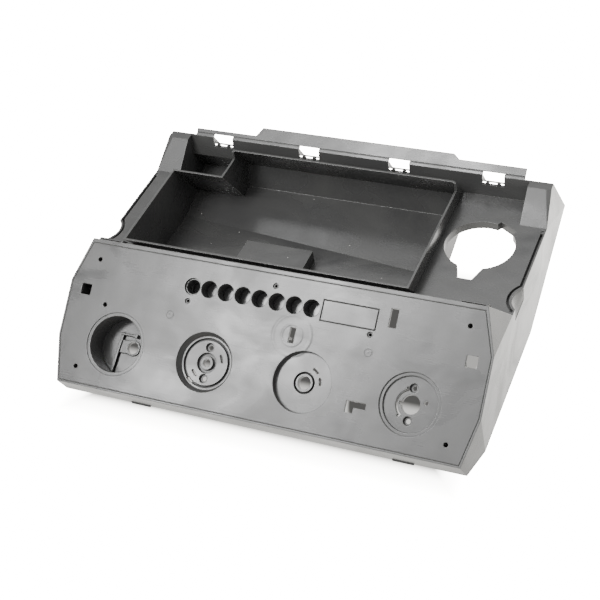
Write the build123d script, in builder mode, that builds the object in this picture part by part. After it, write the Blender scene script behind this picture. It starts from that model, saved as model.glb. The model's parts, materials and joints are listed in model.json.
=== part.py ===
"""Injection moulded plastic housing: the top cover of a countertop appliance.

One moulding.  An inclined control panel at the front, a level deck behind it
with a sunken storage tray and a filler opening, and a hinge rail along the
rear edge.  Every wall, well and tube is drawn along the panel's normal.
X runs along the panel, Y towards the rear, Z up, millimetres.
"""
import os
from math import cos, radians, sin, tan

from build123d import *

# ---- overall form ----------------------------------------------------------
body_width = 387.0          # across the two side walls at their widest
wall = 2.4                  # general wall thickness
panel_tilt = 38.0           # slope of the control panel from the table
panel_below_knobs = 41.4    # knob line down to the lower edge of the panel
panel_above_knobs = 88.3    # knob line up to the upper edge of the panel
knob_line_height = 46.0     # knob line above the table
knob_line_setback = 118.0   # knob line in front of the middle of the housing
panel_foot_inset = 8.7      # ends of the panel's lower edge in from the sides
panel_top_inset = 12.5      # ends of the panel's upper edge in from the sides
panel_flare_top = 49.0      # knob line to the upper corner of the panel's sides
panel_flare_foot = 0.8      # knob line to the lower corner of the panel's sides
front_skirt_lean = 10.2     # how far the skirt runs back under the panel
skirt_corner_run = 6.6      # lower edge: the front corner's facet ends this far behind the flare
deck_height = 71.5          # level of the deck above the table
deck_run = 142.5            # deck from the panel's back wall to the rear wall
back_wall_run = 23.4        # slope of the panel's back wall over its height
rail_height = 92.0          # top of the hinge rail above the table
rail_lean = 3.5             # lean of the wall between deck and hinge rail
rail_land = 1.4             # width of the flat top of the hinge rail
rear_wall_run = 28.2        # slope of the rear wall over its height
rear_edge_height = 45.0     # lower edge of the rear wall above the table
side_break = 147.0          # knob line back to the rise of the lower edge
side_taper = 3.4            # how much narrower each side is at the rear

# ---- raised rear corners ---------------------------------------------------
corner_width = 26.5         # raised corner, measured in from the side
corner_slope_run = 28.0     # run of its sloped front face
corner_land = 8.0           # flat at its top, in front of the hinge rail
corner_inset = 10.0         # lean of its outer edge towards the middle
corner_facet = 4.5          # width of the narrow facet at its top

# ---- deck edge channel and finger scoops -----------------------------------
channel_lip = 1.4           # outer wall left standing beside the channel
channel_width = 2.4
channel_depth = 3.2
channel_lead = 3.0          # channel starts and ends this far inside the deck
scoop_radius = 18.0
scoop_setback = 11.0        # centre of the scoop outside the side wall
scoop_from_panel = 20.5     # panel's back wall to the centre of the scoop
scoop_depth = 13.0
channel_ring = 19.9         # the channel's outer edge where it passes round the scoop

# ---- storage tray ----------------------------------------------------------
tray_wall = 1.7
tray_left_inset = 31.0      # left inner face in from the side of the housing
tray_right_inset = 89.0     # right inner face in from the side of the housing
tray_notch = 112.0          # middle of the housing to the rear left notch
tray_gap = 6.5              # panel's back wall to the front rim of the tray
tray_rim = 15.5             # front and side rims above the deck
tray_rear_rim = 23.5        # rear rim above the deck
tray_length = 130.1         # front rim to rear rim
tray_notch_length = 99.6    # front rim to the rear rim of the notched part
tray_draft = 4.5            # draft of the rear faces from the draw direction
tray_fold_drop = 31.0       # rear rim down to the fold in the rear face
tray_depth = 53.0           # rear rim down to the foot of the rear face
tray_undercut = 6.6         # rear face below the fold, back towards the front
tray_ramp = 15.0            # slope of the rear part of the floor
tray_floor_depth = 41.0     # deck down to the level part of the floor
tray_floor_fall = 1.2       # sideways slope of the level part of the floor
plinth_width = 66.0         # raised pad on the floor of the tray
plinth_from_left = 80.5
plinth_from_front = 134.0   # in front of it: the knob line
plinth_length = 27.0
plinth_height = 9.5
tray_corner_radius = 3.0    # upright corner at the right of the rear face
pocket_wall = 2.2           # walls of the pocket behind the notch

# ---- filler opening in the deck --------------------------------------------
filler_inset = 52.3         # middle of the opening in from the side
filler_from_panel = 77.0
filler_radius = 30.7
filler_collar = 5.0
filler_collar_wall = 2.0
lug_recess_width = 19.0
lug_recess_depth = 15.0
lug_recess_reach = 33.4
lug_recess_angle = 58.0
tongue_root = 22.0
tongue_tip = 12.4
tongue_reach = 44.0

# ---- control panel ---------------------------------------------------------
knob_1_x = -136.7
knob_2_x = -50.2
knob_3_x = 40.3
knob_4_x = 134.1
deep_well_radius = 24.8
deep_well_depth = 25.0
deep_well_rim_radius = 27.7
deep_well_rim_depth = 0.9
dish_radius = 25.8
dish_floor_radius = 23.0
dish_lead = 0.6
dish_depth = 6.0
plain_well_radius = 25.9
plain_well_depth = 5.6
shallow_radius = 26.0
shallow_step = 1.4
shallow_inner_radius = 23.2
shallow_depth = 3.4
button_count = 8
button_pitch = 15.83
button_radius = 7.4
button_first_x = -76.1
button_row = 61.5           # above the knob line, as are all rows below
button_tube_depth = 13.6
button_tube_wall = 1.3
border_inset = 1.5          # border line inside the edge of the panel
border_top_inset = 1.9      # further inside along the top
border_width = 0.7
border_depth = 0.5
window_length = 49.3
window_height = 18.4
window_x = 68.3
window_row = 61.7
window_line = 0.9
window_depth = 1.1
square_hole = 9.6
square_corner = 1.0
square_inset = 16.8         # in from the side of the housing
square_row = 42.5
slot_1_x = 106.2
slot_1_row = 65.4
slot_1_width = 6.6
slot_1_length = 15.7
slot_2_x = 22.7
slot_2_row = 36.5
slot_2_width = 5.0
slot_2_length = 13.0
angle_hole_x = 81.3         # its upper left corner
angle_hole_row = -6.9
angle_hole_leg = 17.2
angle_hole_drop = 9.7
angle_hole_band = 5.0
screw_radius = 2.0
screw_boss_width = 8.4
screw_boss_length = 12.0
panel_screw_inset = 23.8    # in from the side of the housing
panel_screw_top = 70.4
panel_screw_foot = -25.6
left_screw_inset = 38.5     # in from the left side
left_screw_row = 32.0
pin_radius = 1.2
pin_counterbore_radius = 2.4
pin_counterbore_depth = 1.2
pin_1_x = -77.8
pin_1_row = 48.6
pin_2_x = -0.8
pin_2_row = 74.5
pin_3_x = 89.2
pin_3_row = 48.8
edge_slot_inset = 26.3      # slots behind the panel's top edge, in from the sides
edge_slot_length = 20.0
edge_slot_drop = 5.4        # panel's top edge down to the mouth of the slot
edge_slot_gap = 1.9
edge_slot_depth = 6.5
edge_lip = 1.6              # lip that stands off the back wall round the slot

# ---- inside the wells ------------------------------------------------------
thick_floor = 4.0           # floor of the three shallow wells
guide_width = 2.4           # straight guide on the floor of the deep well
guide_length = 36.2
guide_x = -144.7
guide_row = -5.7
guide_lean = 5.7
guide_height = 3.0
guide_groove = 1.1          # groove along each side of the guide
guide_groove_depth = 1.4
stop_length = 15.6          # stop wall across the end of the guide
stop_row = 11.2
stop_thickness = 1.6
stop_height = 4.5
shaft_pad_width = 12.0
shaft_pad_length = 11.4
shaft_pad_height = 1.6
shaft_hole_x = -131.1
shaft_hole_row = 0.4
shaft_hole_radius = 5.2
hub_groove_radius = 8.8
hub_groove_depth = 3.0
hub_tube_radius = 5.8
hub_bore_radius = 3.2
plain_groove_radius = 9.2
plain_tube_radius = 7.6
plain_bore_radius = 5.6
inner_ring_radius = 21.4
ring_width = 2.0
ring_depth = 2.2
spindle_radius = 7.9
spindle_key_width = 2.6
spindle_key_reach = 9.9
fixing_offset = 13.5        # fixing screws above and below a well's centre
fixing_radius = 2.0
fixing_counterbore_radius = 3.8
fixing_counterbore_depth = 2.6
slot_ring_radius = 14.0     # thin curved slots round the hubs
thin_slot = 1.8
hook_slot_radius = 12.1
hook_slot_start = 111.0
hook_slot_sweep = 119.0
hook_slot_end = 2.6
side_hole_x = 12.2
side_hole_row = 3.4
side_hole_radius = 1.8

# ---- hinge rail and rear flange --------------------------------------------
flange_thickness = 2.2
flange_left_reach = 7.2
flange_right_reach = 11.0
flange_middle_reach = 15.6
flange_inset = 31.5         # ends of the flange in from the sides
flange_middle_half_width = 100.0
flange_step = 5.6
hinge_pitch = 89.0
hinge_slot_width = 20.0
hinge_slot_reach = 3.6      # opening in the top of the rail, from its front edge
hinge_slot_drop = 9.5       # opening in its front face, from its top
hook_width = 3.0            # pair of hooks at the foot of each hinge opening
hook_reach = 2.2
hook_tip = 1.4
hook_spread = 5.2
rear_opening_inset = 35.5   # ends of the opening of the rear wall in from the sides
rear_opening_top = 79.0     # above the table; it is open downwards
rail_groove = 1.0           # line between the rail and the flange
rail_groove_depth = 0.6

# ---- underside -------------------------------------------------------------
rib_thickness = 1.8
panel_rib_depth = 9.0
rib_row = 34.0              # lengthwise rib, above the knob line
rib_1_x = -93.5
rib_2_x = -5.0
rib_3_x = 87.5
post_width = 9.2            # posts for the screws from below
post_hole_radius = 1.7
post_hole_depth = 18.0
post_inset = 17.5           # in from the sides
post_front_y = -88.0
post_rear_y = 70.0
post_foot = 4.0             # height of the front posts' ends above the table
post_rear_lift = 16.0       # how much higher the rear posts end
foot_notch_width = 19.0     # hooded recesses in the foot of the skirt
foot_notch_height = 3.6
foot_notch_depth = 5.5
foot_notch_left_inset = 84.0
foot_notch_right_inset = 61.0

# ---- datum planes ----------------------------------------------------------
tilt = radians(panel_tilt)
draw_run = tan(tilt)                                # run per height of a face along the draw
rear_run = tan(tilt - radians(tray_draft))          # the same for a drafted rear face
half = body_width / 2
panel_foot_x = half - panel_foot_inset
panel_top_x = half - panel_top_inset
panel = Plane(
    origin=(0, -knob_line_setback, knob_line_height), x_dir=(1, 0, 0), z_dir=(0, -sin(tilt), cos(tilt)),
)
deck = Plane.XY.offset(deck_height)
square_x = half - square_inset
panel_screw_x = half - panel_screw_inset
edge_slot_x = half - edge_slot_inset
flange_half_width = half - flange_inset
post_x = half - post_inset
foot_notches = (foot_notch_left_inset - half, half - foot_notch_right_inset)
through = 4 * wall                                  # a cut that is sure to pass one wall


def side_view(along, above):
    """Setback and height of a point on the panel plane, or above or below it."""
    p = panel.from_local_coords(Vector(0, along, above))
    return (p.Y, p.Z)


foot = side_view(-panel_below_knobs, 0)
top = side_view(panel_above_knobs, 0)
flare_top = side_view(panel_flare_top, 0)
flare_foot = side_view(-panel_flare_foot, 0)
skirt = (foot[0] + front_skirt_lean, 0.0)
deck_front = (top[0] + back_wall_run, deck_height)
deck_rear = (deck_front[0] + deck_run, deck_height)
rail_front = (deck_rear[0] + rail_lean, rail_height)
rail_rear = (rail_front[0] + rail_land, rail_height)
rear_foot = (rail_rear[0] + rear_wall_run, rear_edge_height)
break_point = (-knob_line_setback + side_break, 0.0)
corner_top = (rail_front[0] - corner_land, rail_height)
corner_front = (corner_top[0] - corner_slope_run, deck_height)
corner_x = half - corner_width
tray_left = half - tray_left_inset
tray_right = half - tray_right_inset
filler_x = half - filler_inset


def outward_normal(p, q, r):
    """Unit normal of the plane through three points, pointing away from the middle."""
    n = (Vector(*q) - Vector(*p)).cross(Vector(*r) - Vector(*p)).normalized()
    return n if n.X > 0 else n * -1


def trim(points, inset):
    """Cut both ends of the current part back to a plane through three points."""
    n = outward_normal(*points)
    origin = Vector(*points[0]) - n * inset
    for side in (1, -1):
        cut = Plane(origin=(side * origin.X, origin.Y, origin.Z), z_dir=(side * n.X, n.Y, n.Z))
        split(bisect_by=cut, keep=Keep.BOTTOM)


# the facets of the two sides, each by three of its corners
side_plane = ((half, *flare_top), (half, *flare_foot), (half - side_taper, *rear_foot))


def side_x(y, z):
    """Half width of the housing on its side plane."""
    n = outward_normal(*side_plane)
    return half - (n.Y * (y - flare_top[0]) + n.Z * (z - flare_top[1])) / n.X


def on_side(y, z):
    return (side_x(y, z), y, z)


skirt_corner = flare_foot[0] + skirt_corner_run
crest_x = half - corner_inset
foot_facet = ((half, *flare_foot), (panel_foot_x, *foot), on_side(skirt_corner, 0.0))
top_facet = ((half, *flare_top), (panel_top_x, *top), on_side(*deck_front))
corner_base = on_side(*corner_front)
crest_outer = (crest_x + corner_facet, corner_top[0] + corner_facet / 3, rail_height)
narrow_facet = (corner_base, (crest_x, *corner_top), crest_outer)
rear_facet = (corner_base, crest_outer, (half - side_taper, *rear_foot))


def body_form(inset):
    """The outside of the housing, or its inside when drawn in by the wall."""
    with BuildPart() as low:
        with BuildSketch(Plane.YZ):
            with BuildLine():
                Polyline(
                    skirt, foot, flare_top, deck_front, deck_rear, rail_front, rail_rear, rear_foot,
                    break_point, close=True,
                )
            make_face()
            if inset:
                offset(amount=-inset, kind=Kind.INTERSECTION)
        extrude(amount=half, both=True)
        if inset:
            with BuildSketch(Plane.YZ):
                with BuildLine():
                    Polyline(
                        (skirt[0] + inset * 1.15, knob_line_height / 5),
                        (skirt[0] + inset * 1.15, -rail_height),
                        (rear_foot[0] - inset * 1.4, -rail_height),
                        (rear_foot[0] - inset * 1.4, rear_foot[1] + 0.1),
                        close=True,
                    )
                make_face()
            extrude(amount=half, both=True)
        trim(side_plane, inset)
        trim(foot_facet, inset)
        trim(rear_facet, inset)
    with BuildPart() as roof:
        with BuildSketch(Plane.YZ):
            with BuildLine():
                Polyline(
                    side_view(panel_above_knobs / 4, 0), top, deck_front,
                    (deck_front[0] + back_wall_run / 2, deck_height - back_wall_run / 2 / draw_run),
                    (flare_top[0], flare_foot[1]), close=True,
                )
            make_face()
            if inset:
                offset(amount=-inset, kind=Kind.INTERSECTION)
        extrude(amount=half, both=True)
        trim(top_facet, inset)
        trim(side_plane, inset)
    with BuildPart() as corner:
        with BuildSketch(Plane.YZ):
            with BuildLine():
                Polyline(
                    (corner_front[0] - corner_width, deck_height - corner_width),
                    (corner_front[0], deck_height), corner_top, rail_front, rail_rear,
                    (rail_rear[0] + rear_wall_run / 2, (rail_rear[1] + rear_foot[1]) / 2), close=True,
                )
            make_face()
            if inset:
                offset(amount=-inset, kind=Kind.INTERSECTION)
        extrude(amount=half, both=True)
        with BuildSketch(Plane.XZ):
            Rectangle(2 * (corner_x + inset), 6 * rail_height)
        extrude(amount=body_width, both=True, mode=Mode.SUBTRACT)
        trim(narrow_facet, inset)
        trim(rear_facet, inset)
        trim(side_plane, inset)
    with BuildPart() as whole:
        add(low.part)
        add(roof.part)
        add(corner.part)
    return whole.part


outside = body_form(0)
inside = body_form(wall)

# ---- storage tray ----------------------------------------------------------
tray_front = deck_front[0] + tray_gap + tray_wall / cos(tilt)
rim_height = deck_height + tray_rim
rear_rim_height = deck_height + tray_rear_rim
front_rim = tray_front - tray_rim * draw_run
rear_rim = front_rim + tray_length
rear_fold = (rear_rim + tray_fold_drop * rear_run, rear_rim_height - tray_fold_drop)
rear_base = (rear_fold[0] - tray_undercut, rear_rim_height - tray_depth)
notch_rim = front_rim + tray_notch_length
ramp = tan(radians(tray_ramp))
clear = 2 * tray_rear_rim                           # how far a cut runs on above the rims


def ramp_foot(face, height, run):
    """Where a face leaning back by run from (face, height) meets the sloped floor."""
    y = (face + (height - rear_base[1] + rear_base[0] * ramp) * run) / (1 + ramp * run)
    return (y, rear_base[1] - (rear_base[0] - y) * ramp)


def tray_bay(left, right, rim, rear_points, grow):
    """One bay of the tray as a length of its side profile."""
    front_foot = ramp_foot(tray_front, deck_height, draw_run)
    with BuildPart() as bay:
        with BuildSketch(Plane.YZ.offset(left - grow)):
            with BuildLine():
                Polyline(
                    (tray_front - (tray_rear_rim + clear) * draw_run, rear_rim_height + clear), front_foot,
                    *rear_points, close=True,
                )
            make_face()
            if grow:
                offset(amount=grow, kind=Kind.INTERSECTION)
                with Locations((rear_rim - tray_wall, rim + clear)):
                    Rectangle(
                        2 * tray_length, 2 * clear, align=(Align.MAX, Align.CENTER), mode=Mode.SUBTRACT,
                    )
                with Locations((0, rear_rim_height + clear)):
                    Rectangle(4 * tray_length, 2 * clear, mode=Mode.SUBTRACT)
        extrude(amount=right - left + 2 * grow)
    return bay.part


def tray_form(grow):
    """The space of the tray, or the solid around it when grown by its wall."""
    with BuildPart() as form:
        add(tray_bay(
            -tray_notch, tray_right, rim_height,
            (rear_base, rear_fold, (rear_rim - clear * rear_run, rear_rim_height + clear)), grow,
        ))
        add(tray_bay(
            -tray_left, -tray_notch + tray_wall, rim_height,
            (
                ramp_foot(notch_rim, rim_height, rear_run),
                (notch_rim - (tray_rear_rim - tray_rim + clear) * rear_run, rear_rim_height + clear),
            ),
            grow,
        ))
        level = Plane(
            origin=(-tray_left, 0, deck_height - tray_floor_depth),
            z_dir=(sin(radians(tray_floor_fall)), 0, cos(radians(tray_floor_fall))),
        )
        split(bisect_by=level.offset(-grow), keep=Keep.TOP)
        with BuildSketch(Plane.XY.offset(deck_height - tray_floor_depth + plinth_height - grow)):
            plinth_front = plinth_from_front - knob_line_setback
            with Locations((plinth_from_left - tray_left + grow, plinth_front + grow)):
                Rectangle(
                    plinth_width - 2 * grow, plinth_length - 2 * grow, align=(Align.MIN, Align.MIN),
                )
        extrude(amount=-deck_height, mode=Mode.SUBTRACT)
        corners = [
            e for e in form.edges()
            if abs((e @ 1 - e @ 0).X) < tray_wall and abs((e @ 1 - e @ 0).Z) > tray_rim
            and (e @ 0.5).X > 0 and (e @ 0.5).Y > 0
        ]
        fillet(corners, tray_corner_radius + grow)
    return form.part


def pocket_form(grow):
    """The pocket between the tray's notch and the hinge rail."""
    notch_face = notch_rim + tray_rim * rear_run
    with BuildPart() as form:
        with BuildSketch(Plane.YZ.offset(-corner_x - grow)):
            with BuildLine():
                Polyline(
                    (notch_face - wall * rear_run, deck_height + wall),
                    ramp_foot(notch_face, deck_height, rear_run),
                    ramp_foot(deck_rear[0], deck_height, rear_run),
                    (deck_rear[0] - wall * rear_run, deck_height + wall), close=True,
                )
            make_face()
            if grow:
                offset(amount=grow, kind=Kind.INTERSECTION)
                with Locations((0, deck_height)):
                    Rectangle(2 * body_width, clear, mode=Mode.SUBTRACT, align=(Align.CENTER, Align.MIN))
        extrude(amount=corner_x - tray_notch + 2 * grow)
    return form.part


# ---- wells of the control panel --------------------------------------------
def well_form(x, steps):
    """A round well turned about the panel's normal from (radius, depth) steps."""
    spot = panel.from_local_coords(Vector(x, 0, 0))
    section = Plane(origin=spot, x_dir=(1, 0, 0), z_dir=panel.y_dir * -1)
    with BuildPart() as form:
        with BuildSketch(section):
            with BuildLine():
                Polyline(
                    (0, wall), (steps[0][0], wall), *[(radius, -depth) for radius, depth in steps],
                    (0, -steps[-1][1]), close=True,
                )
            make_face()
        revolve(axis=Axis(spot, panel.z_dir))
    return form.part


wells = (
    (knob_1_x, (
        (deep_well_rim_radius, deep_well_rim_depth), (deep_well_radius, deep_well_rim_depth),
        (deep_well_radius, deep_well_depth),
    )),
    (knob_2_x, ((dish_radius, dish_lead), (dish_floor_radius, dish_depth))),
    (knob_3_x, ((plain_well_radius, plain_well_depth),)),
    (knob_4_x, (
        (shallow_radius, shallow_step), (shallow_inner_radius, shallow_step),
        (shallow_inner_radius, shallow_depth),
    )),
)
cups = (
    (knob_1_x, deep_well_radius, deep_well_depth + wall),
    (knob_2_x, dish_radius, dish_depth + thick_floor),
    (knob_3_x, plain_well_radius, plain_well_depth + thick_floor),
    (knob_4_x, shallow_radius, shallow_depth + thick_floor),
)

# ---- the moulding ----------------------------------------------------------
button_spots = [(button_first_x + i * button_pitch, button_row) for i in range(button_count)]
screw_spots = [
    (-panel_screw_x, panel_screw_top), (panel_screw_x, panel_screw_top),
    (-panel_screw_x, panel_screw_foot), (panel_screw_x, panel_screw_foot),
]
panel_under = panel.offset(-wall)
scoop_y = deck_front[0] + scoop_from_panel


def edge_band(inset, disc, depth):
    """A slab under the deck's level, its ends cut parallel to the sides."""
    with BuildPart() as band:
        with BuildSketch(deck):
            with Locations((0, deck_front[0] + channel_lead)):
                Rectangle(
                    2 * body_width, corner_front[0] - deck_front[0] - 2 * channel_lead,
                    align=(Align.CENTER, Align.MIN),
                )
            with Locations((half + scoop_setback, scoop_y), (-half - scoop_setback, scoop_y)):
                Circle(disc, mode=Mode.SUBTRACT)
        extrude(amount=-depth)
        trim(side_plane, inset)
    return band.part


filler_y = deck_front[0] + filler_from_panel


def filler_outline(grow):
    """Opening of the filler: a circle with a tongue in front and a lug recess."""
    with BuildSketch(deck) as outline:
        with Locations((filler_x, filler_y)):
            Circle(filler_radius)
            Polygon(
                (-tongue_root / 2, 0), (-tongue_root / 2, -filler_radius + 2),
                (-tongue_tip / 2, -tongue_reach), (tongue_tip / 2, -tongue_reach),
                (tongue_root / 2, -filler_radius + 2), (tongue_root / 2, 0), align=None,
            )
        with Locations(Location((filler_x, filler_y), lug_recess_angle)):
            with Locations((lug_recess_reach, 0)):
                Rectangle(2 * lug_recess_depth, lug_recess_width, align=(Align.MAX, Align.CENTER))
        if grow:
            offset(amount=grow, kind=Kind.INTERSECTION)
    return outline.sketch


def hinge_cut():
    """Side profile of a hinge opening: through the rail and out of the rear wall."""
    rail = Plane(origin=(0, *rail_front), x_dir=(1, 0, 0), z_dir=panel.z_dir)

    def on_rail(reach, above):
        p = rail.from_local_coords(Vector(0, reach, above))
        return (p.Y, p.Z)

    return [
        (rail_front[0] - hinge_slot_reach, rail_height - hinge_slot_drop),
        (rail_front[0] - hinge_slot_reach, rail_height + through),
        on_rail(hinge_slot_reach, through),
        on_rail(hinge_slot_reach, -flange_thickness - 0.4),
        on_rail(2 * flange_middle_reach, -flange_thickness - 0.4),
        (rear_foot[0] + through, rear_foot[1] + hinge_slot_drop),
        (rear_foot[0], rear_foot[1] + hinge_slot_drop),
        (rail_front[0] + 2 * wall, rail_height - hinge_slot_drop),
    ]


rear_wall_slope = rear_wall_run / (rail_height - rear_edge_height)
rear_opening = [
    (rail_rear[0] + (rail_height - rear_opening_top) * rear_wall_slope - 2 * wall, rear_opening_top),
    (rear_foot[0] + through, rear_opening_top), (rear_foot[0] + through, -through),
    (rear_foot[0] - 4 * wall, -through), (rear_foot[0] - 4 * wall, rear_edge_height + wall),
]


def panel_outline(inset):
    """Face of the panel drawn in from its edge, a little further at the top."""
    crown = panel_above_knobs - border_top_inset
    with BuildSketch(Plane.XY) as outline:
        Polygon(
            (-panel_foot_x, -panel_below_knobs), (panel_foot_x, -panel_below_knobs),
            (half, -panel_flare_foot), (half, panel_flare_top), (panel_top_x, crown),
            (-panel_top_x, crown), (-half, panel_flare_top), (-half, -panel_flare_foot), align=None,
        )
        offset(amount=-inset, kind=Kind.INTERSECTION)
    return outline.sketch


def curved_slot(x, radius, start, sweep):
    """A thin slot along an arc round the centre of a well."""
    return Pos(x, 0) * SlotArc(CenterArc((0, 0), radius, start, sweep), thin_slot)


def back_wall_point(drop, out):
    """Point this far below the panel's top along the draw, and out from its back wall."""
    lean = (deck_front[0] - top[0]) / (top[1] - deck_front[1])
    z = top[1] - drop * cos(tilt)
    return (top[0] + (top[1] - z) * lean + out, z)


dish_slots = [
    curved_slot(knob_2_x, slot_ring_radius, 14, 22), curved_slot(knob_2_x, slot_ring_radius, 216, 22),
    curved_slot(knob_2_x, dish_floor_radius - thin_slot, 226, 12),
]
plain_slots = [
    curved_slot(knob_3_x, slot_ring_radius, 4, 20), curved_slot(knob_3_x, slot_ring_radius, 46, 18),
]
hook_slot = curved_slot(knob_4_x, hook_slot_radius, hook_slot_start, hook_slot_sweep)
edge_slot_profile = [
    back_wall_point(edge_slot_drop - edge_lip, 0), back_wall_point(edge_slot_drop - edge_lip, edge_slot_gap),
    back_wall_point(edge_slot_drop + edge_slot_depth, edge_slot_gap),
    back_wall_point(edge_slot_drop + edge_slot_depth, 0),
]
edge_lip_profile = [
    back_wall_point(edge_slot_drop, -wall / 2), back_wall_point(edge_slot_drop, edge_slot_gap + edge_lip),
    back_wall_point(edge_slot_drop + edge_slot_depth + edge_lip, edge_slot_gap + edge_lip),
    back_wall_point(edge_slot_drop + edge_slot_depth + 2 * edge_lip, -wall / 2),
]
notch_profile = [
    (skirt[0] + wall / 8, 0), (skirt[0] - through, 0), (skirt[0] - through, foot_notch_height),
    (skirt[0] + foot_notch_depth, foot_notch_height),
]
pin_spots = [(pin_1_x, pin_1_row), (pin_2_x, pin_2_row), (pin_3_x, pin_3_row)]
screw_spots.append((left_screw_inset - half, left_screw_row))
hinge_spots = [(i - 1.5) * hinge_pitch for i in range(4)]

with BuildPart() as housing:
    add(outside)
    add(inside, mode=Mode.SUBTRACT)

    # walls that hang below the skin
    add(tray_form(tray_wall))
    add(pocket_form(pocket_wall))
    for x, radius, depth in cups:
        with BuildSketch(panel_under):
            with Locations((x, 0)):
                Circle(radius + wall)
        extrude(amount=wall - depth)
    with BuildSketch(panel_under):
        with Locations((button_first_x + (button_count - 1) * button_pitch / 2, button_row)):
            SlotCenterToCenter((button_count - 1) * button_pitch, 2 * (button_radius + button_tube_wall))
    extrude(amount=wall - button_tube_depth - button_tube_wall)
    with BuildSketch(panel_under):
        with Locations(*screw_spots):
            Rectangle(screw_boss_width, screw_boss_width)
    extrude(amount=-screw_boss_length)
    add(filler_outline(filler_collar_wall))
    extrude(amount=-filler_collar - wall)

    # ribs under the panel, kept to the inside of the skin
    with BuildPart(mode=Mode.PRIVATE) as ribs:
        with BuildSketch(panel):
            with Locations((0, rib_row)):
                Rectangle(body_width, rib_thickness)
            with Locations(*[(x, 0) for x in (knob_1_x - dish_radius * 1.5, rib_1_x, rib_2_x, rib_3_x)]):
                Rectangle(rib_thickness, 2 * panel_above_knobs)
        extrude(amount=-panel_rib_depth)
        add(outside, mode=Mode.INTERSECT)
    add(ribs.part)

    # deck edge channel, its floor, and the finger scoops in the two sides
    with BuildPart(mode=Mode.PRIVATE) as edge_floor:
        add(edge_band(0, scoop_radius, channel_depth + wall))
        add(
            edge_band(channel_lip + channel_width + wall, channel_ring + channel_width + wall, through),
            mode=Mode.SUBTRACT,
        )
    add(edge_floor.part)
    with BuildPart(mode=Mode.PRIVATE) as scoop_wall:
        with BuildSketch(deck):
            with Locations((half + scoop_setback, scoop_y), (-half - scoop_setback, scoop_y)):
                Circle(scoop_radius + wall)
        extrude(amount=-scoop_depth - wall)
        add(outside, mode=Mode.INTERSECT)
    add(scoop_wall.part)

    # posts for the screws that hold the housing down
    with BuildPart(mode=Mode.PRIVATE) as posts:
        for y, z in ((post_front_y, post_foot), (post_rear_y, post_foot + post_rear_lift)):
            with BuildSketch(Plane.XY.offset(z)):
                with Locations((post_x, y), (-post_x, y)):
                    Rectangle(post_width, post_width)
            extrude(amount=body_width)
        add(outside, mode=Mode.INTERSECT)
    add(posts.part)

    # blocks behind the recesses in the foot of the skirt
    with BuildPart(mode=Mode.PRIVATE) as notch_blocks:
        with BuildSketch(Plane.XY):
            with Locations(*[(x, skirt[0]) for x in foot_notches]):
                Rectangle(foot_notch_width + 2 * wall, 2 * (foot_notch_depth + wall))
        extrude(amount=foot_notch_height + wall)
        add(outside, mode=Mode.INTERSECT)
    add(notch_blocks.part)

    # rear flange on top of the hinge rail
    with BuildSketch(Plane(origin=(0, *rail_front), x_dir=(1, 0, 0), z_dir=panel.z_dir)):
        with BuildLine():
            Polyline(
                (-flange_half_width, 0), (-flange_half_width, flange_left_reach),
                (-flange_middle_half_width, flange_left_reach),
                (-flange_middle_half_width + flange_step, flange_middle_reach),
                (flange_middle_half_width - flange_step, flange_middle_reach),
                (flange_middle_half_width, flange_right_reach),
                (flange_half_width, flange_right_reach), (flange_half_width, 0), close=True,
            )
        make_face()
    extrude(amount=-flange_thickness)

    # the spaces of the tray, the wells and the openings
    with BuildPart(mode=Mode.PRIVATE) as pocket:
        add(pocket_form(0))
        add(tray_form(tray_wall), mode=Mode.SUBTRACT)
    add(pocket.part, mode=Mode.SUBTRACT)
    add(tray_form(0), mode=Mode.SUBTRACT)
    for x, steps in wells:
        add(well_form(x, steps), mode=Mode.SUBTRACT)
    with BuildSketch(panel):
        with Locations(*button_spots):
            Circle(button_radius)
    extrude(amount=-button_tube_depth, mode=Mode.SUBTRACT)
    with BuildSketch(panel):
        with Locations(button_spots[0]):
            Circle(button_radius - button_tube_wall)
        with Locations(*screw_spots):
            Circle(screw_radius)
        with Locations(*pin_spots):
            Circle(pin_radius)
        with Locations((square_x, square_row), (-square_x, square_row)):
            RectangleRounded(square_hole, square_hole, square_corner)
        with Locations((slot_1_x, slot_1_row)):
            Rectangle(slot_1_width, slot_1_length)
        with Locations((slot_2_x, slot_2_row)):
            Rectangle(slot_2_width, slot_2_length)
        with Locations((angle_hole_x, angle_hole_row)):
            Rectangle(angle_hole_leg, angle_hole_band, align=(Align.MIN, Align.MAX))
            Rectangle(angle_hole_band * 1.4, angle_hole_drop, align=(Align.MIN, Align.MAX))
    extrude(amount=-screw_boss_length - through, mode=Mode.SUBTRACT)
    with BuildSketch(panel):
        with Locations(*pin_spots):
            Circle(pin_counterbore_radius)
    extrude(amount=-pin_counterbore_depth, mode=Mode.SUBTRACT)

    # lines and marks in the face of the panel
    with BuildSketch(panel):
        add(panel_outline(border_inset))
        add(panel_outline(border_inset + border_width), mode=Mode.SUBTRACT)
    extrude(amount=-border_depth, mode=Mode.SUBTRACT)
    with BuildSketch(panel):
        with Locations((window_x, window_row)):
            Rectangle(window_length, window_height)
            Rectangle(window_length - 2 * window_line, window_height - 2 * window_line, mode=Mode.SUBTRACT)
    extrude(amount=-window_depth, mode=Mode.SUBTRACT)

    # slots behind the panel's top edge, each in a lip on the back wall
    for side in (1, -1):
        with BuildSketch(Plane.YZ.offset(side * edge_slot_x)):
            Polygon(*edge_lip_profile, align=None)
        extrude(amount=edge_slot_length / 2 + edge_lip, both=True)
        with BuildSketch(Plane.YZ.offset(side * edge_slot_x)):
            Polygon(*edge_slot_profile, align=None)
        extrude(amount=edge_slot_length / 2, both=True, mode=Mode.SUBTRACT)

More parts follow.
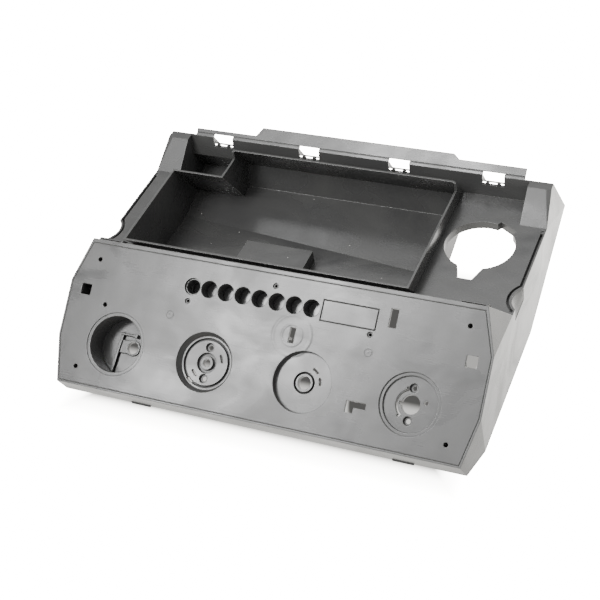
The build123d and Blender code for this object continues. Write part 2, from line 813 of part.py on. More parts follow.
    # deep well: guide, stop and pad on its floor
    guide_spot = Location((guide_x, guide_row), -guide_lean)
    with BuildSketch(panel.offset(-deep_well_depth)):
        with Locations(guide_spot):
            Rectangle(guide_width + 2 * guide_groove, guide_length)
            Rectangle(guide_width, guide_length, mode=Mode.SUBTRACT)
    extrude(amount=-guide_groove_depth, mode=Mode.SUBTRACT)
    with BuildSketch(panel.offset(-deep_well_depth)):
        with Locations(guide_spot):
            Rectangle(guide_width, guide_length)
    extrude(amount=guide_height)
    with BuildSketch(panel.offset(-deep_well_depth)):
        with Locations((guide_x, stop_row)):
            Rectangle(stop_length, stop_thickness, align=(Align.MIN, Align.CENTER))
            with Locations((stop_length, 0)):
                Circle(stop_thickness)
    extrude(amount=stop_height)
    with BuildSketch(panel.offset(-deep_well_depth)):
        with Locations((shaft_hole_x, shaft_hole_row)):
            Rectangle(shaft_pad_width, shaft_pad_length, align=(Align.MAX, Align.CENTER))
        with Locations((shaft_hole_x, shaft_hole_row)):
            Circle(shaft_hole_radius + shaft_pad_height)
    extrude(amount=shaft_pad_height)
    with BuildSketch(panel.offset(shaft_pad_height - deep_well_depth)):
        with Locations((shaft_hole_x, shaft_hole_row)):
            Circle(shaft_hole_radius)
    extrude(amount=-through, mode=Mode.SUBTRACT)

    # dish and plain well: hubs, fixing holes and thin curved slots
    with BuildSketch(panel.offset(-dish_depth)):
        with Locations((knob_2_x, 0)):
            Circle(hub_groove_radius)
            Circle(hub_tube_radius, mode=Mode.SUBTRACT)
    extrude(amount=-hub_groove_depth, mode=Mode.SUBTRACT)
    with BuildSketch(panel.offset(-plain_well_depth)):
        with Locations((knob_3_x, 0)):
            Circle(plain_groove_radius)
            Circle(plain_tube_radius, mode=Mode.SUBTRACT)
    extrude(amount=-hub_groove_depth, mode=Mode.SUBTRACT)
    with BuildSketch(panel.offset(-dish_depth)):
        with Locations((knob_2_x, 0)):
            Circle(inner_ring_radius)
            Circle(inner_ring_radius - ring_width, mode=Mode.SUBTRACT)
    extrude(amount=-ring_depth, mode=Mode.SUBTRACT)
    for x, depth in ((knob_2_x, dish_depth), (knob_4_x, shallow_depth)):
        with BuildSketch(panel.offset(-depth)):
            with Locations((x, fixing_offset), (x, -fixing_offset)):
                Circle(fixing_counterbore_radius)
        extrude(amount=-fixing_counterbore_depth, mode=Mode.SUBTRACT)
        with BuildSketch(panel.offset(-depth)):
            with Locations((x, fixing_offset), (x, -fixing_offset)):
                Circle(fixing_radius)
        extrude(amount=-through, mode=Mode.SUBTRACT)
    with BuildSketch(panel.offset(-dish_depth)):
        with Locations((knob_2_x, 0)):
            Circle(hub_bore_radius)
        add(dish_slots)
    extrude(amount=-through, mode=Mode.SUBTRACT)
    with BuildSketch(panel.offset(-plain_well_depth)):
        with Locations((knob_3_x, 0)):
            Circle(plain_bore_radius)
        add(plain_slots)
    extrude(amount=-through, mode=Mode.SUBTRACT)

    # shallow well: spindle hole with its key, hooked slot and side hole
    with BuildSketch(panel.offset(-shallow_depth)):
        with Locations((knob_4_x, 0)):
            Circle(spindle_radius)
            Rectangle(spindle_key_reach, spindle_key_width, align=(Align.MAX, Align.CENTER))
            end_radius = hook_slot_radius + hook_slot_end / 2
            with PolarLocations(end_radius, 2, hook_slot_start, 2 * hook_slot_sweep):
                Rectangle(hook_slot_end, thin_slot)
            with Locations((side_hole_x, side_hole_row)):
                Circle(side_hole_radius)
        add(hook_slot)
    extrude(amount=-through, mode=Mode.SUBTRACT)
    add(filler_outline(0))
    extrude(amount=-filler_collar - through, mode=Mode.SUBTRACT)
    with BuildPart(mode=Mode.PRIVATE) as channel:
        add(edge_band(channel_lip, channel_ring, channel_depth))
        add(
            edge_band(channel_lip + channel_width, channel_ring + channel_width, through),
            mode=Mode.SUBTRACT,
        )
    add(channel.part, mode=Mode.SUBTRACT)
    with BuildSketch(deck):
        with Locations((half + scoop_setback, scoop_y), (-half - scoop_setback, scoop_y)):
            Circle(scoop_radius)
    extrude(amount=-scoop_depth, mode=Mode.SUBTRACT)
    for x in hinge_spots:
        with BuildSketch(Plane.YZ.offset(x)):
            with BuildLine():
                Polyline(*hinge_cut(), close=True)
            make_face()
        extrude(amount=hinge_slot_width / 2, both=True, mode=Mode.SUBTRACT)
    with BuildSketch(Plane.YZ):
        Polygon(*rear_opening, align=None)
    extrude(amount=half - rear_opening_inset, both=True, mode=Mode.SUBTRACT)
    hook_foot = rail_height - hinge_slot_drop
    with BuildSketch(Plane.XZ.offset(-rail_front[0] + rail_lean / 2)):
        with Locations(*[(x + side * hook_spread, hook_foot) for x in hinge_spots for side in (-1, 1)]):
            Polygon(
                (-hook_width / 2, 0), (-hook_width / 2, hook_reach),
                (-hook_width / 4, hook_reach + hook_tip), (hook_width / 4, hook_reach + hook_tip),
                (hook_width / 2, hook_reach), (hook_width / 2, 0), align=None,
            )
    extrude(amount=-wall)
    with BuildSketch(Plane(origin=(0, *rail_front), x_dir=(1, 0, 0), z_dir=panel.z_dir)):
        with Locations((0, hinge_slot_reach)):
            Rectangle(2 * flange_half_width, rail_groove, align=(Align.CENTER, Align.MAX))
    extrude(amount=-rail_groove_depth, mode=Mode.SUBTRACT)
    for x in foot_notches:
        with BuildSketch(Plane.YZ.offset(x)):
            Polygon(*notch_profile, align=None)
        extrude(amount=foot_notch_width / 2, both=True, mode=Mode.SUBTRACT)
    for y, z in ((post_front_y, post_foot), (post_rear_y, post_foot + post_rear_lift)):
        with BuildSketch(Plane.XY.offset(z)):
            with Locations((post_x, y), (-post_x, y)):
                Circle(post_hole_radius)
        extrude(amount=post_hole_depth, mode=Mode.SUBTRACT)

housing.part.label = "housing"
os.makedirs("parts", exist_ok=True)
export_step(housing.part, "parts/housing.step")
print(len(housing.part.solids()), housing.part.volume, housing.part.bounding_box())
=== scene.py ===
"""Scene of the injection moulded plastic housing: finish, pale floor, studio light and camera."""
import json
import math

import bpy
import numpy as np
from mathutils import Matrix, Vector

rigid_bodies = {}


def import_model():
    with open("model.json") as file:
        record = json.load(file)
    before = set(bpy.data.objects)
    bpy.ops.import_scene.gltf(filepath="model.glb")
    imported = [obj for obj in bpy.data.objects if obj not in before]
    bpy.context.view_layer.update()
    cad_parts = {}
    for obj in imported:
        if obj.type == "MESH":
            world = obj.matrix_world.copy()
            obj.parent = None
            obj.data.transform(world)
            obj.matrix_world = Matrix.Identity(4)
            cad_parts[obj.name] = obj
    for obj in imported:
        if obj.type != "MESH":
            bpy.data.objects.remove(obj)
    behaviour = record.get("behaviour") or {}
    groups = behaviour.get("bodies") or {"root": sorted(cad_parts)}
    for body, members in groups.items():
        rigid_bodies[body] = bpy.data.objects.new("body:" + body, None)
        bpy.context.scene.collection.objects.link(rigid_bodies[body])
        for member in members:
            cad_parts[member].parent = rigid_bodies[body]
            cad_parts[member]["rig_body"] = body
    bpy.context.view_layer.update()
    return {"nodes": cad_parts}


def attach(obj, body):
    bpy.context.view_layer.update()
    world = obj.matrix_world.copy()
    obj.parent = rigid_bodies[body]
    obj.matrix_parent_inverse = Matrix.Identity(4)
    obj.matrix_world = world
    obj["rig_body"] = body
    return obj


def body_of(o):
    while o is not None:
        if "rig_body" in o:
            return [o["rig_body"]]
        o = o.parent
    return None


MM = 0.001                      # metres in a millimetre

# the control panel's own frame: X across, Y up the panel, Z out of it
PANEL_TILT = math.radians(38)                           # how far it leans back from level
PANEL_ORIGIN = np.array((0.0, -118.0, 46.0))            # on the row of knob wells, mm
ACROSS = np.array((1.0, 0.0, 0.0))
UP_PANEL = np.array((0.0, math.cos(PANEL_TILT), math.sin(PANEL_TILT)))
OUT_OF_PANEL = np.array((0.0, -math.sin(PANEL_TILT), math.cos(PANEL_TILT)))

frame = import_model()


# ---- tools ------------------------------------------------------------------
def linear(code):
    """Linear colour of an sRGB hex value."""
    part = np.array([int(code[i:i + 2], 16) / 255 for i in (0, 2, 4)])
    part = np.where(part <= 0.04045, part / 12.92, ((part + 0.055) / 1.055) ** 2.4)
    return (*part.tolist(), 1.0)


def node(tree, kind, settings=None, **sockets):
    """Adds one node with its own settings, and numbers, colours or links for its sockets.

    A socket goes by its name, with _ for a space, or by its place: i0, i1 and so on.
    """
    made = tree.nodes.new(kind)
    for field, value in (settings or {}).items():
        setattr(made, field, value)
    for name, value in sockets.items():
        by_place = name[0] == "i" and name[1:].isdigit()
        socket = made.inputs[int(name[1:]) if by_place else name.replace("_", " ")]
        if isinstance(value, bpy.types.NodeSocket):
            tree.links.new(value, socket)
        else:
            socket.default_value = value
    return made


def new_material(name):
    """A new material, its node tree and its shader."""
    material = bpy.data.materials.new(name)
    material.use_nodes = True
    return material, material.node_tree, material.node_tree.nodes["Principled BSDF"]


# ---- finish of the moulding -------------------------------------------------
MOULD_RINGS = (                 # across and up the panel, radius and half width of the line, mm
    (-90.8, 34.4, 3.2, 0.7), (90.8, 34.4, 3.2, 0.7),    # round the two gates
    (-90.8, 34.4, 0.0, 1.2), (90.8, 34.4, 0.0, 1.2),    # and the pip in the middle of each
    (22.7, 36.5, 17.0, 2.2), (22.7, 36.5, 9.0, 1.6),    # round the middle slot
)


def moulded_abs():
    """Dark grey ABS straight from a polished steel mould.

    Satin skin: the light glides over it in broad soft patches, with faint flow
    fronts, fine polishing lines along the panel and shallow sink over the ribs.
    """
    material, tree, shader = new_material("moulded_dark_grey_abs")
    where = node(tree, "ShaderNodeTexCoord").outputs["Object"]
    on_panel = node(tree, "ShaderNodeMapping", {"vector_type": "TEXTURE"}, Vector=where,
                    Location=tuple(PANEL_ORIGIN * MM),
                    Rotation=(PANEL_TILT, 0, 0)).outputs["Vector"]

    # flow fronts: cloudy bands about 42 mm wide, drawn out along the flow
    drawn = node(tree, "ShaderNodeMapping", Vector=on_panel,
                 Scale=(0.6, 1.0, 1.0)).outputs["Vector"]
    flow = node(tree, "ShaderNodeTexNoise", Vector=drawn, Scale=1 / (42 * MM), Detail=3.0,
                Roughness=0.55, Distortion=0.8).outputs["Fac"]
    # polishing lines of the mould, 1.2 mm apart and some 200 mm long: only on the
    # panel's face, and gone 1 mm above or below it
    lines = node(tree, "ShaderNodeMapping", Vector=on_panel,
                 Scale=(0.006, 1.0, 0.0)).outputs["Vector"]
    scratches = node(tree, "ShaderNodeTexNoise", Vector=lines, Scale=1 / (1.2 * MM),
                     Detail=1.0).outputs["Fac"]
    off_face = node(tree, "ShaderNodeSeparateXYZ", Vector=on_panel).outputs["Z"]
    off_face = node(tree, "ShaderNodeMath", {"operation": "ABSOLUTE"},
                    i0=off_face).outputs["Value"]
    on_face = node(tree, "ShaderNodeMapRange", Value=off_face, From_Min=1.0 * MM,
                   From_Max=0.4 * MM).outputs["Result"]
    polish = node(tree, "ShaderNodeMath", {"operation": "MULTIPLY"}, i0=scratches,
                  i1=on_face).outputs["Value"]
    # grain of the skin, 0.5 mm, as coarse as it needs to be to show
    grain = node(tree, "ShaderNodeTexNoise", Vector=where, Scale=1 / (0.5 * MM),
                 Detail=1.0).outputs["Fac"]
    # sink and warp of the walls: swells about 35 mm across
    swell = node(tree, "ShaderNodeTexNoise", Vector=where, Scale=1 / (35 * MM),
                 Detail=1.5).outputs["Fac"]

    tone = node(tree, "ShaderNodeMapRange", {"interpolation_type": "SMOOTHSTEP"}, Value=flow,
                From_Min=0.2, From_Max=0.8).outputs["Result"]
    clouded = node(tree, "ShaderNodeMix", {"data_type": "RGBA"}, Factor=tone,
                   A=linear("3b3b3b"), B=linear("434342")).outputs["Result"]
    # painted shade: grooves and inner corners are painted dark, about 2 mm wide, and left dull
    corner = node(tree, "ShaderNodeAmbientOcclusion", {"samples": 16, "only_local": True},
                  Distance=2.4 * MM).outputs["AO"]
    open_face = node(tree, "ShaderNodeMapRange", Value=corner, From_Min=0.45,
                     From_Max=0.82).outputs["Result"]
    painted_corner_shade = node(tree, "ShaderNodeMix", {"data_type": "RGBA"}, Factor=open_face,
                  A=linear("242424"), B=clouded).outputs["Result"]
    # painted highlight: rims and edges painted pale, 0.7 mm wide, standing in for light caught on
    # them
    rounded = node(tree, "ShaderNodeBevel", {"samples": 10}, Radius=0.7 * MM).outputs["Normal"]
    facing = node(tree, "ShaderNodeNewGeometry").outputs["True Normal"]
    turn = node(tree, "ShaderNodeVectorMath", {"operation": "DOT_PRODUCT"}, i0=rounded,
                i1=facing).outputs["Value"]
    edge = node(tree, "ShaderNodeMapRange", Value=turn, From_Min=0.97,
                From_Max=0.80).outputs["Result"]
    rim = node(tree, "ShaderNodeMath", {"operation": "MULTIPLY"}, i0=edge,
               i1=open_face).outputs["Value"]
    painted_edge_highlight = node(tree, "ShaderNodeMix", {"data_type": "RGBA"}, Factor=rim, A=painted_corner_shade,
                  B=linear("7c7c7a")).outputs["Result"]
    # specks of pale dust, 0.8 mm, lying on level faces about 60 mm apart
    from_speck = node(tree, "ShaderNodeTexVoronoi", {"voronoi_dimensions": "2D"}, Vector=where,
                      Scale=1 / (60 * MM)).outputs["Distance"]
    speck = node(tree, "ShaderNodeMath", {"operation": "LESS_THAN"}, i0=from_speck,
                 i1=0.4 / 60).outputs["Value"]
    upward = node(tree, "ShaderNodeSeparateXYZ", Vector=facing).outputs["Z"]
    level = node(tree, "ShaderNodeMath", {"operation": "GREATER_THAN"}, i0=upward,
                 i1=0.9).outputs["Value"]
    dust = node(tree, "ShaderNodeMath", {"operation": "MULTIPLY"}, i0=speck,
                i1=level).outputs["Value"]
    dusted = node(tree, "ShaderNodeMix", {"data_type": "RGBA"}, Factor=dust, A=painted_edge_highlight,
                  B=linear("b4b3ae")).outputs["Result"]
    tree.links.new(dusted, shader.inputs["Base Color"])

    # gloss follows the flow, is a little duller along the polishing lines, and
    # is lost in the corners
    gloss = node(tree, "ShaderNodeMapRange", {"interpolation_type": "SMOOTHSTEP"}, Value=flow,
                 From_Min=0.2, From_Max=0.8, To_Min=0.16, To_Max=0.36).outputs["Result"]
    streaked = node(tree, "ShaderNodeMath", {"operation": "MULTIPLY_ADD"}, i0=polish, i1=0.06,
                    i2=gloss).outputs["Value"]
    matt = node(tree, "ShaderNodeMix", {"data_type": "FLOAT"}, i0=open_face, i2=0.7,
                i3=streaked).outputs["Result"]
    tree.links.new(matt, shader.inputs["Roughness"])

    # rings left by the injection gates and by the core pin round the slot
    marks = 0.0
    for across, up, radius, width in MOULD_RINGS:
        reach = node(tree, "ShaderNodeVectorMath", {"operation": "DISTANCE"}, i0=on_panel,
                     i1=(across * MM, up * MM, 0)).outputs["Value"]
        off = node(tree, "ShaderNodeMath", {"operation": "SUBTRACT"}, i0=reach,
                   i1=radius * MM).outputs["Value"]
        off = node(tree, "ShaderNodeMath", {"operation": "ABSOLUTE"}, i0=off).outputs["Value"]
        ring = node(tree, "ShaderNodeMapRange", {"interpolation_type": "SMOOTHSTEP"}, Value=off,
                    From_Min=width * MM, From_Max=0.0).outputs["Result"]
        marks = node(tree, "ShaderNodeMath", {"operation": "MAXIMUM"}, i0=ring,
                     i1=marks).outputs["Value"]
    # each relief with its strength and its height in mm, one laid over the other
    normal = rounded
    for relief, strength, height in ((marks, 0.6, 0.15), (swell, 0.5, 0.9),
                                     (polish, 0.06, 0.02), (grain, 0.05, 0.03)):
        normal = node(tree, "ShaderNodeBump", Strength=strength, Distance=height * MM,
                      Height=relief, Normal=normal).outputs["Normal"]
    tree.links.new(normal, shader.inputs["Normal"])
    shader.inputs["IOR"].default_value = 1.52
    return material


def notch_shade_material():
    """Painted shade: a dark, dull stand-in for the shade in the foot notches, almost without a
    highlight, faintly mottled.
    """
    material, tree, shader = new_material("painted_notch_shade_dark")
    where = node(tree, "ShaderNodeTexCoord").outputs["Object"]
    # faint mottling, patches 1.5 mm across
    mottling = node(tree, "ShaderNodeTexNoise", Vector=where, Scale=1 / (1.5 * MM),
                 Detail=2.0).outputs["Fac"]
    mottled = node(tree, "ShaderNodeMix", {"data_type": "RGBA"}, Factor=mottling,
                   A=linear("2c2c2d"), B=linear("3a3a3b")).outputs["Result"]
    tree.links.new(mottled, shader.inputs["Base Color"])
    normal = node(tree, "ShaderNodeBump", Strength=0.3, Distance=0.05 * MM,
                  Height=mottling).outputs["Normal"]
    tree.links.new(normal, shader.inputs["Normal"])
    shader.inputs["Roughness"].default_value = 0.8
    shader.inputs["IOR"].default_value = 1.5
    shader.inputs["Specular IOR Level"].default_value = 0.3
    return material


housing = frame["nodes"]["housing"]
abs_plastic = moulded_abs()
# painted shade: the dark material of the blocks in the foot notches
notch_shade = notch_shade_material()
housing.data.materials.clear()
housing.data.materials.append(abs_plastic)


# ---- forms of the moulding that the solid leaves plain, and painted shade in the foot notches ---
# all in mm, and a spot on the panel is given across and up it
SCREW_SPOTS = ((-169.7, 70.4), (169.7, 70.4), (-169.7, -25.6), (169.7, -25.6), (-155.0, 32.0))
SCREW_FLOOR = (2.2, 13.2, 13.8)         # radius, and depth of its top and underside
PIN_SPOTS = ((-77.8, 48.6), (-0.8, 74.5), (89.2, 48.8))
PIN_SOCKET = (1.2, 9.0)                 # radius and depth of each cup, as in the two below
SQUARE_SPOT = (-176.7, 42.5)
SQUARE_SOCKET = (4.9, 26.0)
FIRST_BUTTON = (-76.1, 61.5)
BUTTON_CUP = (6.2, 17.5)
CUP_WALL = 1.0
CUP_TOP = 2.2                           # depth of the cups' rims: the panel's underside

DECK_LEVEL = 71.5
SIDE_NORMAL = np.array((0.99979, 0.01260, -0.01612))    # outer face of the right side wall
SIDE_REACH = 191.23                     # and its distance from the middle, along the normal
SCOOP_CENTRE = np.array((204.5, -4.52))
SCOOP_RADIUS = 18.0
SCOOP_DEPTH = 13.0
SCOOP_END_INSET = 0.4                   # from the side's outer face to the slope's two ends
SCOOP_LIP_INSET = 0.25                  # and to its lip, at the bottom
SCOOP_DROP = 0.6                        # from the deck to the slope's top
SCOOP_HOLLOW = (0.10, 0.06)             # hollow inward and down, as shares of its reach

CHANNEL_END = ((186.6, 78.6, 66.6), (190.9, 84.4, 70.9))        # lowest and highest corner
FOOT_NOTCHES = {"left": -109.5, "right": 132.5}         # middle of each notch along X
NOTCH_FRONT = -142.0
NOTCH_BLOCK = (18.6, 6.0, 3.3)          # size along X, Y and Z
NOTCH_LIFT = 0.12                       # from the floor to the block


def moulding(name, points, faces, material=abs_plastic):
    """Adds a closed form that rides on the housing, from points in mm."""
    mesh = bpy.data.meshes.new(name)
    mesh.from_pydata((np.asarray(points) * MM).tolist(), [], [list(face) for face in faces])
    mesh.materials.append(material)
    piece = bpy.data.objects.new(name, mesh)
    bpy.context.scene.collection.objects.link(piece)
    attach(piece, body_of(housing)[0])


def wrapped(rows, columns):
    """Faces of a grid whose columns close on themselves, as quads."""
    row, column = np.meshgrid(np.arange(rows - 1), np.arange(columns), indexing="ij")
    right = (column + 1) % columns
    quads = np.stack([row * columns + column, (row + 1) * columns + column,
                      (row + 1) * columns + right, row * columns + right], -1)
    return quads.reshape(-1, 4)


def mirrored(points, faces):
    """The same form on the left side: X changes sign, and the faces turn round."""
    return points * (-1, 1, 1), [face[::-1] for face in faces]


def panel_ring(spot, radius, depth, turn):
    """Points round a spot on the panel, at some angles and at a depth below its face."""
    centre = PANEL_ORIGIN + spot[0] * ACROSS + spot[1] * UP_PANEL - depth * OUT_OF_PANEL
    return centre + radius * (np.cos(turn)[:, None] * ACROSS + np.sin(turn)[:, None] * UP_PANEL)


def channel_end():
    """Closed rear end of the deck's edge channel: a short block with six flat faces."""
    pick = np.array([(i, j, k) for i in (0, 1) for j in (0, 1) for k in (0, 1)])
    points = np.where(pick, CHANNEL_END[1], CHANNEL_END[0])
    faces = [[0, 1, 3, 2], [4, 6, 7, 5], [0, 4, 5, 1], [2, 3, 7, 6], [0, 2, 6, 4], [1, 5, 7, 3]]
    return points, faces


def scoop_slope():
    """Leaning wall of the right finger scoop: a wedge whose section, at each angle round
    the scoop, runs from the deck's edge down to the bottom and out to the side wall."""
    side_x = (SIDE_REACH - SCOOP_END_INSET - SIDE_NORMAL[2] * DECK_LEVEL) / SIDE_NORMAL[0]
    start = math.pi - math.acos((SCOOP_CENTRE[0] - side_x) / SCOOP_RADIUS)
    turn = np.linspace(start, 2 * math.pi - start, 49)
    arc = SCOOP_CENTRE + SCOOP_RADIUS * np.stack([np.cos(turn), np.sin(turn)], -1)
    foot = DECK_LEVEL - SCOOP_DEPTH
    wall = (SIDE_REACH - SCOOP_LIP_INSET - SIDE_NORMAL[1] * arc[:, 1]
            - SIDE_NORMAL[2] * foot) / SIDE_NORMAL[0]
    reach = np.maximum(wall - arc[:, 0], 0.0)
    flat = np.zeros(len(arc))
    top = np.column_stack([arc, flat + DECK_LEVEL - SCOOP_DROP])
    bottom = np.column_stack([arc, flat + foot])
    lip = bottom + np.column_stack([reach, flat, flat])
    inward, down = SCOOP_HOLLOW
    middle = (top + lip) / 2 - np.column_stack([inward * reach, flat, down * reach])
    points = np.stack([top, bottom, lip, middle], 1).reshape(-1, 3)
    last = len(points)
    faces = wrapped(len(arc), 4).tolist()
    faces += [[3, 2, 1, 0], [last - 4, last - 3, last - 2, last - 1]]
    return points, faces


def screw_floors(sides=24):
    """Blind ends of the screw bosses: a thin round plug across each hole."""
    turn = np.linspace(0, 2 * math.pi, sides, endpoint=False)
    radius, top, underside = SCREW_FLOOR
    points, faces = [], []
    for spot in SCREW_SPOTS:
        start = len(points)
        for depth in (top, underside):
            points += panel_ring(spot, radius, depth, turn).tolist()
        faces.append([start + i for i in range(sides)])
        faces.append([start + sides + i for i in reversed(range(sides))])
        faces += (start + wrapped(2, sides)).tolist()
    return points, faces


def blind_cup(spot, reach, depth, sides):
    """Blind cup under a hole of the panel: a wall profile, down inside, across the
    end and up outside, carried round a square or a circle of some half width."""
    hair = 0.001                        # the end's middle, which can't be a point
    profile = ((reach, CUP_TOP), (reach, depth), (hair, depth), (hair, depth + CUP_WALL),
               (reach + CUP_WALL, depth + CUP_WALL), (reach + CUP_WALL, CUP_TOP),
               (reach, CUP_TOP))
    turn = (np.arange(sides) + 0.5) * 2 * math.pi / sides
    to_corner = 1 / math.cos(math.pi / sides)
    points = [panel_ring(spot, to_corner * half, level, turn) for half, level in profile]
    return np.concatenate(points), wrapped(len(profile), sides).tolist()


def notch_block(middle, sides=32):
    """Dark block of painted shade in a foot notch: a rounded section, a superellipse of power
    8, carried along X and drawn in a little at its two ends."""
    turn = np.linspace(0, 2 * math.pi, sides, endpoint=False)
    round_part = np.stack([np.cos(turn), np.sin(turn)], -1)
    section = np.sign(round_part) * np.abs(round_part) ** (2 / 8)
    length, *across = NOTCH_BLOCK
    half = np.array(across) / 2
    centre = half + (NOTCH_FRONT, NOTCH_LIFT)
    rings = [np.column_stack([np.full(sides, middle + place * length / 2),
                              centre + size * half * section])
             for place, size in ((-1, 0.9), (-0.96, 1.0), (0.96, 1.0), (1, 0.9))]
    last = len(rings) * sides
    faces = wrapped(len(rings), sides).tolist()
    faces += [list(reversed(range(sides))), list(range(last - sides, last))]
    return np.concatenate(rings), faces


moulding("channel_end_right", *channel_end())
moulding("channel_end_left", *mirrored(*channel_end()))
moulding("scoop_slope_right", *scoop_slope())
moulding("scoop_slope_left", *mirrored(*scoop_slope()))
moulding("screw_boss_floors", *screw_floors())
# painted shade: a dark block fills each foot notch, standing in for its shade
for side, middle in FOOT_NOTCHES.items():
    moulding(f"foot_notch_shade_block_{side}", *notch_block(middle), notch_shade)
moulding("left_square_socket", *blind_cup(SQUARE_SPOT, *SQUARE_SOCKET, sides=4))
moulding("first_button_cup", *blind_cup(FIRST_BUTTON, *BUTTON_CUP, sides=48))
for number, spot in enumerate(PIN_SPOTS, 1):
    moulding(f"pin_socket_{number}", *blind_cup(spot, *PIN_SOCKET, sides=24))


# ---- floor ------------------------------------------------------------------
FLOOR_HALF = 6.0                # half its side, in metres
HALF_FOOT = (187.0, 145.0)      # half length and half width of the housing's foot, mm
GLOW_UNDER_SIDES = 24.0         # how far the white reaches in under the side walls, mm
POST_SHADOW_X = 82.0                   # where the painted shadow of a square post lies on the floor, mm


def opal_floor():
    """White opal acrylic lit from below, blown out to pure white all round the housing.

    It lights the walls beside it far less than it shows, as a pane does that
    sends most of its light straight up. Where the housing stands its shade is painted:
    a soft painted shadow at the foot and a dim patch underneath, with painted light
    let in below the front skirt, by the open back and by the right side.
    """
    material, tree, shader = new_material("opal_acrylic_floor")
    where = node(tree, "ShaderNodeTexCoord").outputs["Object"]
    place = node(tree, "ShaderNodeSeparateXYZ", Vector=where).outputs
    # how far a spot lies beyond the foot, with the true sides and with those that glow
    from_middle = node(tree, "ShaderNodeVectorMath", {"operation": "ABSOLUTE"},
                       i0=where).outputs["Vector"]
    beyond = node(tree, "ShaderNodeVectorMath", {"operation": "SUBTRACT"}, i0=from_middle,
                  i1=(HALF_FOOT[0] * MM, HALF_FOOT[1] * MM, 0)).outputs["Vector"]
    beyond = node(tree, "ShaderNodeSeparateXYZ", Vector=beyond).outputs
    outside = node(tree, "ShaderNodeMath", {"operation": "MAXIMUM"}, i0=beyond["X"],
                   i1=beyond["Y"]).outputs["Value"]
    side_glow = node(tree, "ShaderNodeMath", {"operation": "ADD"}, i0=beyond["X"],
                     i1=GLOW_UNDER_SIDES * MM).outputs["Value"]
    in_sight = node(tree, "ShaderNodeMath", {"operation": "MAXIMUM"}, i0=side_glow,
                    i1=beyond["Y"]).outputs["Value"]
    # painted shadow of a post: it holds the painted daylight back by up to 24 mm, 10 to 22 mm to
    # each side of it
    from_post_shadow = node(tree, "ShaderNodeMath", {"operation": "SUBTRACT"}, i0=place["X"],
                     i1=POST_SHADOW_X * MM).outputs["Value"]
    from_post_shadow = node(tree, "ShaderNodeMath", {"operation": "ABSOLUTE"},
                     i0=from_post_shadow).outputs["Value"]
    painted_post_shadow = node(tree, "ShaderNodeMapRange", {"interpolation_type": "SMOOTHSTEP"},
                     Value=from_post_shadow, From_Min=10 * MM, From_Max=22 * MM, To_Min=24 * MM,
                     To_Max=0.0).outputs["Result"]
    inward = node(tree, "ShaderNodeMath", {"operation": "ADD"}, i0=place["Y"],
                  i1=painted_post_shadow).outputs["Value"]

    glow = {}
    for name, along, start, end, first, last in (        # places in mm, then brightness
            ("rim", in_sight, -8, 8, 0.0, 10.0),         # painted shadow: soft grey at the foot
            ("white", in_sight, 2, 40, 0.0, 14.0),       # and white beyond it, where the painted shadow fades out by 40 mm
            ("front", inward, -87, -76, 0.9, 0.10),      # painted daylight below the front skirt
            ("back", place["Y"], 60, 105, 0.0, 22.0),    # painted light from the open back
            ("right", place["X"], 125, 150, 0.0, 0.4),   # and painted light by the right side
            ("edge", outside, -15, 8, 0.65, 1.0)):       # painted shade on what the floor throws, near and under the foot
        glow[name] = node(tree, "ShaderNodeMapRange", {"interpolation_type": "SMOOTHSTEP"},
                          Value=along, From_Min=start * MM, From_Max=end * MM, To_Min=first,
                          To_Max=last).outputs["Result"]
    around = node(tree, "ShaderNodeMath", {"operation": "ADD"}, i0=glow["rim"],
                  i1=glow["white"]).outputs["Value"]
    under = node(tree, "ShaderNodeMath", {"operation": "ADD"}, i0=glow["front"],
                 i1=glow["back"]).outputs["Value"]
    under = node(tree, "ShaderNodeMath", {"operation": "ADD"}, i0=under,
                 i1=glow["right"]).outputs["Value"]
    shown = node(tree, "ShaderNodeMath", {"operation": "MAXIMUM"}, i0=around,
                 i1=under).outputs["Value"]
    # what it throws on the plastic, stronger towards the back
    rearward = node(tree, "ShaderNodeMapRange", Value=place["Y"], From_Min=-150 * MM,
                    From_Max=200 * MM, To_Min=2.0, To_Max=4.9).outputs["Result"]
    thrown = node(tree, "ShaderNodeMath", {"operation": "MULTIPLY"}, i0=glow["edge"],
                  i1=rearward).outputs["Value"]
    to_eye = node(tree, "ShaderNodeLightPath").outputs["Is Camera Ray"]
    strength = node(tree, "ShaderNodeMix", {"data_type": "FLOAT"}, i0=to_eye, i2=thrown,
                    i3=shown).outputs["Result"]
    tree.links.new(strength, shader.inputs["Emission Strength"])
    shader.inputs["Emission Color"].default_value = (1.0, 0.985, 0.945, 1.0)
    shader.inputs["Base Color"].default_value = linear("1c1c1c")
    shader.inputs["Roughness"].default_value = 0.9
    shader.inputs["Specular IOR Level"].default_value = 0.0
    return material


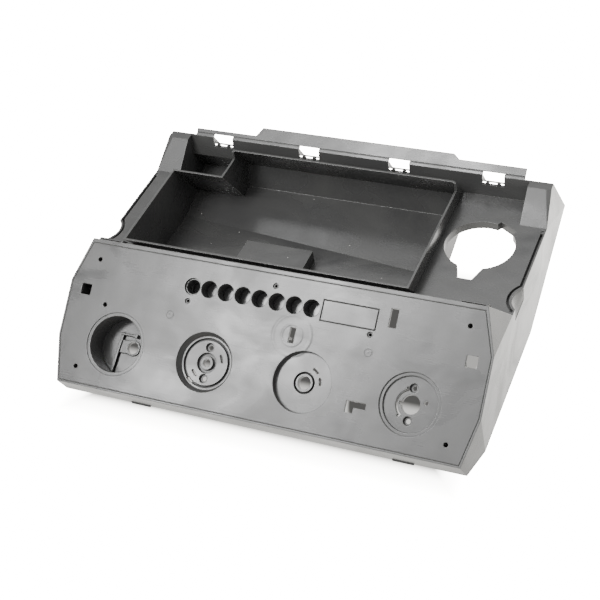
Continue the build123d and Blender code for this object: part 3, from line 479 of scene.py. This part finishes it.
floor_mesh = bpy.data.meshes.new("floor")
floor_mesh.from_pydata([(x * FLOOR_HALF, y * FLOOR_HALF, 0)
                        for x, y in ((-1, -1), (1, -1), (1, 1), (-1, 1))], [], [(0, 1, 2, 3)])
floor_mesh.materials.append(opal_floor())
floor = bpy.data.objects.new("floor", floor_mesh)
bpy.context.scene.collection.objects.link(floor)


# ---- light ------------------------------------------------------------------
PANEL_MIDDLE = (0.0, -0.05, 0.06)


def softbox(name, place, target, width, height, radiance):
    """A white panel of light, given by the brightness of its face: its power is that
    brightness times its area times pi."""
    light = bpy.data.lights.new(name, "AREA")
    light.shape = "RECTANGLE"
    light.size, light.size_y = width, height
    light.energy = radiance * math.pi * width * height
    lamp = bpy.data.objects.new(name, light)
    bpy.context.scene.collection.objects.link(lamp)
    lamp.location = place
    lamp.rotation_euler = (Vector(target) - Vector(place)).to_track_quat("-Z", "Y").to_euler()


softbox("front_left_softbox", (-0.60, -0.86, 1.45), PANEL_MIDDLE, 0.25, 0.95, 35.0)
softbox("wide_front_softbox", (-0.24, -0.80, 1.75), PANEL_MIDDLE, 1.1, 1.6, 2.3)
softbox("rear_softbox", (-0.5, 1.15, 1.85), (0.0, 0.0, 0.05), 1.3, 0.8, 3.6)
softbox("left_fill_softbox", (-1.10, -0.50, 1.75), (-0.15, 0.10, 0.05), 0.50, 0.50, 3.5)

world = bpy.data.worlds.new("studio")
world.use_nodes = True
backdrop = world.node_tree.nodes["Background"]
backdrop.inputs["Color"].default_value = (1, 1, 1, 1)
backdrop.inputs["Strength"].default_value = 0.75
bpy.context.scene.world = world

# ---- camera -----------------------------------------------------------------
lens = bpy.data.cameras.new("camera")
lens.lens = 84.54
lens.sensor_width = 36.0
lens.clip_end = 50.0
camera = bpy.data.objects.new("camera", lens)
bpy.context.scene.collection.objects.link(camera)
camera.location = (0.45094, -0.81813, 0.87412)
camera.rotation_euler = [math.radians(angle) for angle in (47.224, 7.855, 22.412)]
bpy.context.scene.camera = camera
